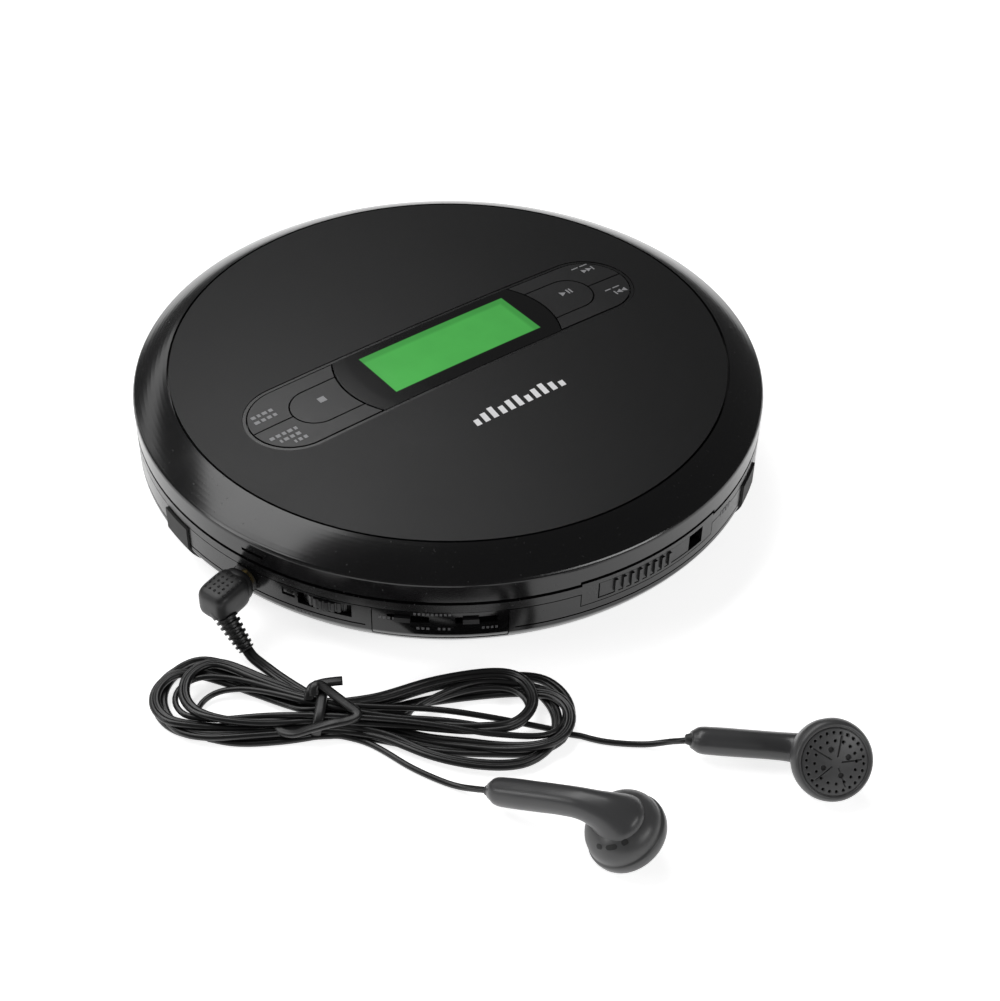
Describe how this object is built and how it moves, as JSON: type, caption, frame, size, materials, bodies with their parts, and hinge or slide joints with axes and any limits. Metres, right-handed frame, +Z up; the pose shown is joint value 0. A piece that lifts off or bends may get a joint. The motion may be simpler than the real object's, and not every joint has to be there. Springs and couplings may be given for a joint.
{
  "type": "portable CD player",
  "caption": "Round portable disc player with a hinged lid, display and key strip, disc drive, battery bay, side controls and a tied pair of earphones",
  "frame": {"origin": "centre of the player's underside, on the surface that its feet stand on", "axes": "+Z up through the spindle, +X along the control strip to the skip keys, -Y towards the opening slider at the front, +Y towards the hinge"},
  "size_m": [0.1662, 0.1974, 0.0276],
  "materials": {
    "shell_black": "glossy black moulded plastic",
    "panel_satin": "black plastic with a fine satin grain",
    "inner_black": "black plastic with a fine matt texture",
    "key_black": "satin black keycap plastic",
    "lens_glass": "polished dark acrylic",
    "lcd_green": "green backlit display",
    "metal": "bright steel",
    "circuit_board": "green solder mask",
    "ribbon": "amber polyimide flat cable",
    "foot_rubber": "dark rubber",
    "cell_wrap": "printed shrink sleeve",
    "chip_black": "moulded epoxy",
    "white_plastic": "natural white acetal",
    "objective_glass": "coated lens",
    "screw_brass": "turned brass",
    "plug_metal": "nickel-plated plug",
    "cord_black": "black soft vinyl with a slight sheen",
    "earbud_grey": "dark grey satin plastic"
  },
  "bodies": {
    "root": {"lid_ribbon": "ribbon", "disc_deck": "inner_black", "bottom_case": "shell_black", "case_screws": "metal", "rubber_feet": "foot_rubber", "battery_cells": "cell_wrap", "battery_contacts": "metal", "main_circuit_board": "circuit_board", "circuit_chips": "chip_black", "indicator_window": "lens_glass", "headphone_jack": "inner_black", "power_jack": "inner_black", "volume_potentiometer": "metal", "side_panel": "shell_black", "slide_switches": "metal", "lid_switch_body": "inner_black", "drive_chassis": "metal", "rubber_dampers": "foot_rubber", "spindle_motor": "metal", "guide_rods": "metal", "sled_motor": "metal", "plug_body": "cord_black", "plug_tip": "plug_metal", "strain_relief": "cord_black", "cord_lead": "cord_black", "cord_hank": "cord_black", "cord_tie": "cord_black", "left_lead": "cord_black", "right_lead": "cord_black", "left_earbud": "earbud_grey", "right_earbud": "earbud_grey"},
    "lid": {"lid_shell": "shell_black", "lid_top_panel": "panel_satin", "strip_frame": "shell_black", "display_lens": "lens_glass", "lcd_module": "lcd_green", "button_switches": "metal", "lid_circuit_board": "circuit_board", "lid_inner_cover": "inner_black", "lid_screws": "metal", "lid_hook": "inner_black", "hinge_pins": "metal"},
    "stop_key": {"stop_button": "key_black"},
    "mode_key": {"mode_button": "key_black"},
    "program_key": {"program_button": "key_black"},
    "play_key": {"play_button": "key_black"},
    "skip_forward_key": {"skip_forward_button": "key_black"},
    "skip_back_key": {"skip_back_button": "key_black"},
    "volume_dial": {"volume_wheel": "key_black"},
    "hold_knob": {"hold_switch_knob": "key_black"},
    "bass_knob": {"bass_switch_knob": "key_black"},
    "release_slider": {"open_slider": "key_black"},
    "switch_plunger": {"lid_switch_plunger": "white_plastic"},
    "turntable": {"spindle_turntable": "white_plastic", "clamp_balls": "metal"},
    "sled": {"pickup_sled": "inner_black", "lens_actuator": "chip_black"},
    "lens": {"objective_lens": "objective_glass"},
    "screw": {"lead_screw": "screw_brass"},
    "battery_door": {"battery_cover": "shell_black"}
  },
  "joints": [
    {"name": "lid_hinge", "type": "hinge", "parent": "root", "child": "lid", "pos_m": [0, 0.0655, 0.0192], "axis": [-1, 0, 0], "range_deg": [0, 70], "deforming": ["lid_ribbon"]},
    {"name": "stop_press", "type": "slide", "parent": "lid", "child": "stop_key", "axis": [0, 0, -1], "range_m": [0, 0.0005], "stiffness_N_per_m": 300},
    {"name": "mode_press", "type": "slide", "parent": "lid", "child": "mode_key", "axis": [0, 0, -1], "range_m": [0, 0.0005], "stiffness_N_per_m": 300},
    {"name": "program_press", "type": "slide", "parent": "lid", "child": "program_key", "axis": [0, 0, -1], "range_m": [0, 0.0005], "stiffness_N_per_m": 300},
    {"name": "play_press", "type": "slide", "parent": "lid", "child": "play_key", "axis": [0, 0, -1], "range_m": [0, 0.0005], "stiffness_N_per_m": 300},
    {"name": "skip_forward_press", "type": "slide", "parent": "lid", "child": "skip_forward_key", "axis": [0, 0, -1], "range_m": [0, 0.0005], "stiffness_N_per_m": 300},
    {"name": "skip_back_press", "type": "slide", "parent": "lid", "child": "skip_back_key", "axis": [0, 0, -1], "range_m": [0, 0.0005], "stiffness_N_per_m": 300},
    {"name": "volume_turn", "type": "hinge", "parent": "root", "child": "volume_dial", "pos_m": [-0.05292, -0.03437, 0.0126], "axis": [0, 0, 1], "range_deg": [-140, 140]},
    {"name": "hold_slide", "type": "hinge", "parent": "root", "child": "hold_knob", "pos_m": [0, 0, 0.0127], "axis": [0, 0, 1], "range_deg": [0, 1.8]},
    {"name": "bass_slide", "type": "hinge", "parent": "root", "child": "bass_knob", "pos_m": [0, 0, 0.0127], "axis": [0, 0, 1], "range_deg": [0, 1.8]},
    {"name": "open_slide", "type": "hinge", "parent": "root", "child": "release_slider", "pos_m": [0, 0, 0.0143], "axis": [0, 0, 1], "range_deg": [0, 3.2], "stiffness_Nm_per_rad": 0.6},
    {"name": "lid_switch_press", "type": "slide", "parent": "root", "child": "switch_plunger", "axis": [0, 0, -1], "range_m": [0, 0.0008], "stiffness_N_per_m": 120},
    {"name": "disc_spin", "type": "hinge", "parent": "root", "child": "turntable", "pos_m": [0, 0, 0.0175], "axis": [0, 0, 1], "continuous": true},
    {"name": "sled_travel", "type": "slide", "parent": "root", "child": "sled", "axis": [1, 0, 0], "range_m": [0, 0.033]},
    {"name": "lens_focus", "type": "slide", "parent": "sled", "child": "lens", "axis": [0, 0, 1], "range_m": [-0.0004, 0.0004], "stiffness_N_per_m": 60},
    {"name": "screw_turn", "type": "hinge", "parent": "root", "child": "screw", "pos_m": [0.03, -0.017, 0.013], "axis": [1, 0, 0], "range_deg": [-10, 4100]},
    {"name": "battery_door_slide", "type": "slide", "parent": "root", "child": "battery_door", "axis": [0, -1, 0], "range_m": [0, 0.0045]}
  ],
  "couplings": [
    {"joint": "screw_turn", "follows": "sled_travel", "rad_per_m": 2094.4}
  ]
}
